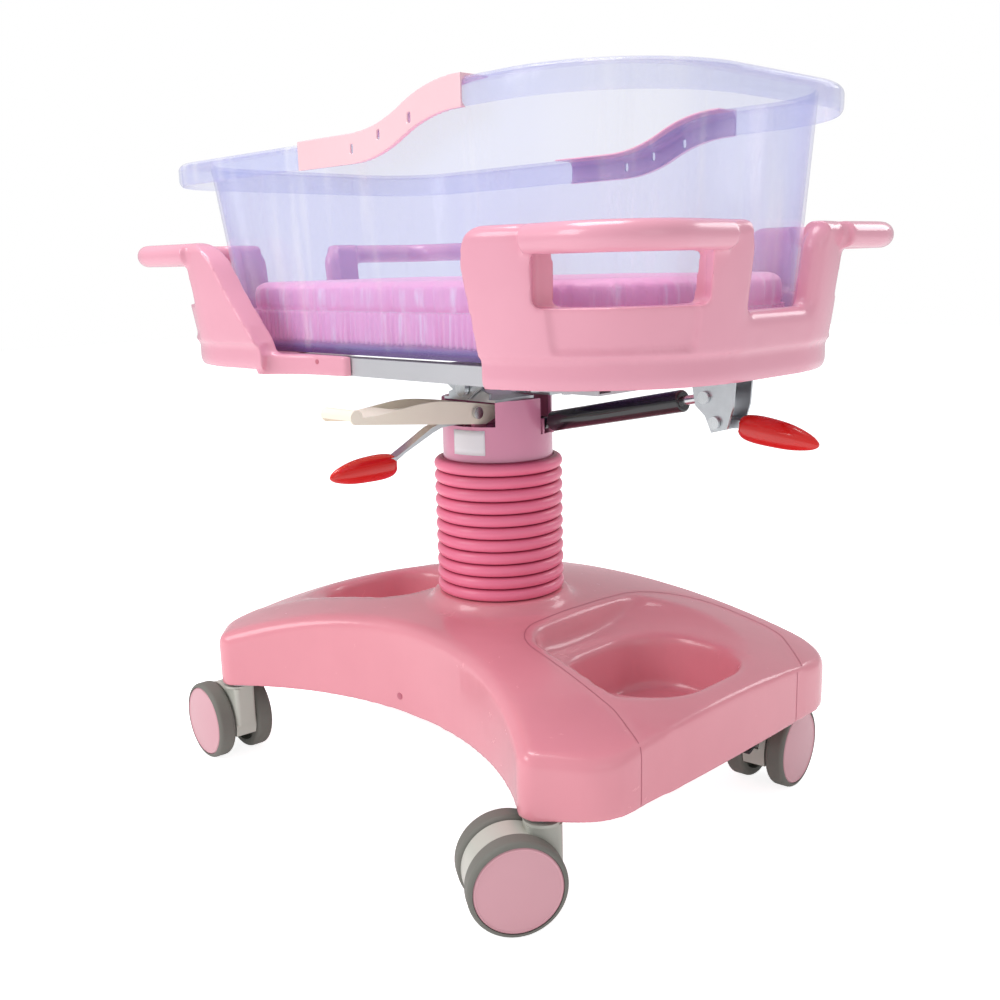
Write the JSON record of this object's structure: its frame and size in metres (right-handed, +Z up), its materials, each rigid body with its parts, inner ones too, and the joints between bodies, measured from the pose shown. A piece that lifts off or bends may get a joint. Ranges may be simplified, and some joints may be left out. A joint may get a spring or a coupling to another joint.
{
  "type": "hospital bassinet",
  "caption": "Hospital bassinet: clear lift-out tub with mattress on a tilting tray, gas-spring lifting column and moulded base on braked swivel casters.",
  "frame": {"origin": "column axis at floor level, which is the centre of the footprint", "axes": "+Z up, +X along the bed towards the head end where the tub's rim is high, -Y the side of the height paddle"},
  "size_m": [0.8449, 0.6186, 0.802],
  "materials": {
    "cover_pink": "smooth glossy moulding",
    "moulding_pink": "smooth glossy moulding",
    "column_pink": "gloss powder coat",
    "bellows_rubber": "satin ribbed sleeve",
    "frame_steel": "silver paint",
    "bright_steel": "bright zinc",
    "dark_steel": "black gloss paint",
    "bush_plastic": "plain",
    "cream_paint": "satin paint",
    "red_plastic": "glossy",
    "tub_clear": "clear with a faint lavender tint",
    "grip_pink": "glossy",
    "mattress_fabric": "soft woven cover",
    "hood_cream": "glossy",
    "tyre_grey": "matte tread",
    "cap_pink": "glossy",
    "pedal_dark": "textured"
  },
  "bodies": {
    "base": {"base_cover": "cover_pink", "base_end_panel_head": "cover_pink", "base_end_panel_foot": "cover_pink", "base_frame": "frame_steel", "caster_stems": "bright_steel", "column_outer_tube": "dark_steel", "column_bush": "bush_plastic", "lift_cylinder": "dark_steel", "bellows": "bellows_rubber"},
    "caster_near_head": {"caster_hood_near_head": "hood_cream", "caster_axle_near_head": "bright_steel"},
    "wheel_near_head_outer": {"wheel_tyre_near_head_outer": "tyre_grey", "wheel_cap_near_head_outer": "cap_pink"},
    "wheel_near_head_inner": {"wheel_tyre_near_head_inner": "tyre_grey", "wheel_cap_near_head_inner": "cap_pink"},
    "caster_near_foot": {"caster_hood_near_foot": "hood_cream", "caster_axle_near_foot": "bright_steel"},
    "wheel_near_foot_outer": {"wheel_tyre_near_foot_outer": "tyre_grey", "wheel_cap_near_foot_outer": "cap_pink"},
    "wheel_near_foot_inner": {"wheel_tyre_near_foot_inner": "tyre_grey", "wheel_cap_near_foot_inner": "cap_pink"},
    "caster_far_head": {"caster_hood_far_head": "hood_cream", "caster_axle_far_head": "bright_steel"},
    "wheel_far_head_outer": {"wheel_tyre_far_head_outer": "tyre_grey", "wheel_cap_far_head_outer": "cap_pink"},
    "wheel_far_head_inner": {"wheel_tyre_far_head_inner": "tyre_grey", "wheel_cap_far_head_inner": "cap_pink"},
    "caster_far_foot": {"caster_hood_far_foot": "hood_cream", "caster_axle_far_foot": "bright_steel"},
    "wheel_far_foot_outer": {"wheel_tyre_far_foot_outer": "tyre_grey", "wheel_cap_far_foot_outer": "cap_pink"},
    "wheel_far_foot_inner": {"wheel_tyre_far_foot_inner": "tyre_grey", "wheel_cap_far_foot_inner": "cap_pink"},
    "pedal_near_foot": {"brake_pedal_near_foot": "pedal_dark"},
    "pedal_far_head": {"brake_pedal_far_head": "pedal_dark"},
    "lift": {"column_inner_tube": "bright_steel", "lift_rod": "bright_steel", "column_head": "column_pink", "tilt_bracket": "frame_steel", "pivot_pins": "bright_steel"},
    "height_paddle": {"height_paddle": "cream_paint"},
    "lock_lever": {"lock_lever_bar": "bright_steel", "lock_lever_grip": "red_plastic"},
    "tray": {"tray_frame": "frame_steel", "tilt_cheeks": "frame_steel", "head_moulding": "moulding_pink", "foot_moulding": "moulding_pink", "moulding_screws": "bright_steel", "tilt_spring_bracket": "frame_steel", "tilt_spring_pins": "bright_steel"},
    "tilt_lever": {"tilt_lever_arm": "bright_steel", "tilt_lever_grip": "red_plastic"},
    "spring_cylinder": {"tilt_spring_cylinder": "dark_steel"},
    "spring_rod": {"tilt_spring_rod": "bright_steel"},
    "tub": {"tub": "tub_clear", "rim_grip_near": "grip_pink", "rim_grip_far": "grip_pink"},
    "mattress": {"mattress": "mattress_fabric"}
  },
  "joints": [
    {"name": "swivel_near_head", "type": "hinge", "parent": "base", "child": "caster_near_head", "pos_m": [0.272, -0.221, 0.1], "axis": [0, 0, 1], "continuous": true},
    {"name": "roll_near_head_outer", "type": "hinge", "parent": "caster_near_head", "child": "wheel_near_head_outer", "pos_m": [0.25403, -0.24868, 0.05], "axis": [0.8387, -0.5446, 0], "continuous": true},
    {"name": "roll_near_head_inner", "type": "hinge", "parent": "caster_near_head", "child": "wheel_near_head_inner", "pos_m": [0.25403, -0.24868, 0.05], "axis": [0.8387, -0.5446, 0], "continuous": true},
    {"name": "swivel_near_foot", "type": "hinge", "parent": "base", "child": "caster_near_foot", "pos_m": [-0.272, -0.221, 0.1], "axis": [0, 0, 1], "continuous": true},
    {"name": "roll_near_foot_outer", "type": "hinge", "parent": "caster_near_foot", "child": "wheel_near_foot_outer", "pos_m": [-0.30487, -0.21812, 0.05], "axis": [-0.0872, -0.9962, 0], "continuous": true},
    {"name": "roll_near_foot_inner", "type": "hinge", "parent": "caster_near_foot", "child": "wheel_near_foot_inner", "pos_m": [-0.30487, -0.21812, 0.05], "axis": [-0.0872, -0.9962, 0], "continuous": true},
    {"name": "swivel_far_head", "type": "hinge", "parent": "base", "child": "caster_far_head", "pos_m": [0.272, 0.221, 0.1], "axis": [0, 0, 1], "continuous": true},
    {"name": "roll_far_head_outer", "type": "hinge", "parent": "caster_far_head", "child": "wheel_far_head_outer", "pos_m": [0.27545, 0.18818, 0.05], "axis": [0.9945, 0.1045, 0], "continuous": true},
    {"name": "roll_far_head_inner", "type": "hinge", "parent": "caster_far_head", "child": "wheel_far_head_inner", "pos_m": [0.27545, 0.18818, 0.05], "axis": [0.9945, 0.1045, 0], "continuous": true},
    {"name": "swivel_far_foot", "type": "hinge", "parent": "base", "child": "caster_far_foot", "pos_m": [-0.272, 0.221, 0.1], "axis": [0, 0, 1], "continuous": true},
    {"name": "roll_far_foot_outer", "type": "hinge", "parent": "caster_far_foot", "child": "wheel_far_foot_outer", "pos_m": [-0.25403, 0.24868, 0.05], "axis": [-0.8387, 0.5446, 0], "continuous": true},
    {"name": "roll_far_foot_inner", "type": "hinge", "parent": "caster_far_foot", "child": "wheel_far_foot_inner", "pos_m": [-0.25403, 0.24868, 0.05], "axis": [-0.8387, 0.5446, 0], "continuous": true},
    {"name": "brake_near_foot", "type": "hinge", "parent": "caster_near_foot", "child": "pedal_near_foot", "pos_m": [-0.33576, -0.21542, 0.066], "axis": [-0.0872, -0.9962, 0], "range_deg": [0, 10], "stiffness_Nm_per_rad": 0.3, "springref_deg": -20.05},
    {"name": "brake_far_head", "type": "hinge", "parent": "caster_far_head", "child": "pedal_far_head", "pos_m": [0.27869, 0.15735, 0.066], "axis": [0.9945, 0.1045, 0], "range_deg": [0, 10], "stiffness_Nm_per_rad": 0.3, "springref_deg": -20.05},
    {"name": "height", "type": "slide", "parent": "base", "child": "lift", "axis": [0, 0, 1], "range_m": [0, 0.2], "deforming": ["bellows"]},
    {"name": "paddle_press", "type": "hinge", "parent": "lift", "child": "height_paddle", "pos_m": [0, -0.06, 0.464], "axis": [1, 0, 0], "range_deg": [0, 8], "stiffness_Nm_per_rad": 3, "springref_deg": -20.05},
    {"name": "lock_squeeze", "type": "hinge", "parent": "lift", "child": "lock_lever", "pos_m": [0, -0.038, 0.453], "axis": [1, 0, 0], "range_deg": [-4, 0]},
    {"name": "tilt", "type": "hinge", "parent": "lift", "child": "tray", "pos_m": [0.012, 0, 0.492], "axis": [0, 1, 0], "range_deg": [-12, 12]},
    {"name": "tilt_squeeze", "type": "hinge", "parent": "tray", "child": "tilt_lever", "pos_m": [0.313, 0.02, 0.468], "axis": [0, 1, 0], "range_deg": [-6, 0]},
    {"name": "spring_swing", "type": "hinge", "parent": "lift", "child": "spring_cylinder", "pos_m": [0.06, 0.02, 0.446], "axis": [0, 1, 0], "range_deg": [-14, 14]},
    {"name": "spring_stroke", "type": "slide", "parent": "spring_cylinder", "child": "spring_rod", "axis": [0.9814, 0, 0.1922], "range_m": [-0.0115, 0.0115]},
    {"name": "tub_lift_out", "type": "slide", "parent": "tray", "child": "tub", "axis": [0, 0, 1], "range_m": [0, 0.3]},
    {"name": "mattress_lift_out", "type": "slide", "parent": "tub", "child": "mattress", "axis": [0, 0, 1], "range_m": [0, 0.3]}
  ],
  "couplings": [
    {"joint": "spring_swing", "follows": "tilt", "ratio": 1.154},
    {"joint": "spring_stroke", "follows": "tilt", "m_per_rad": -0.0535}
  ]
}
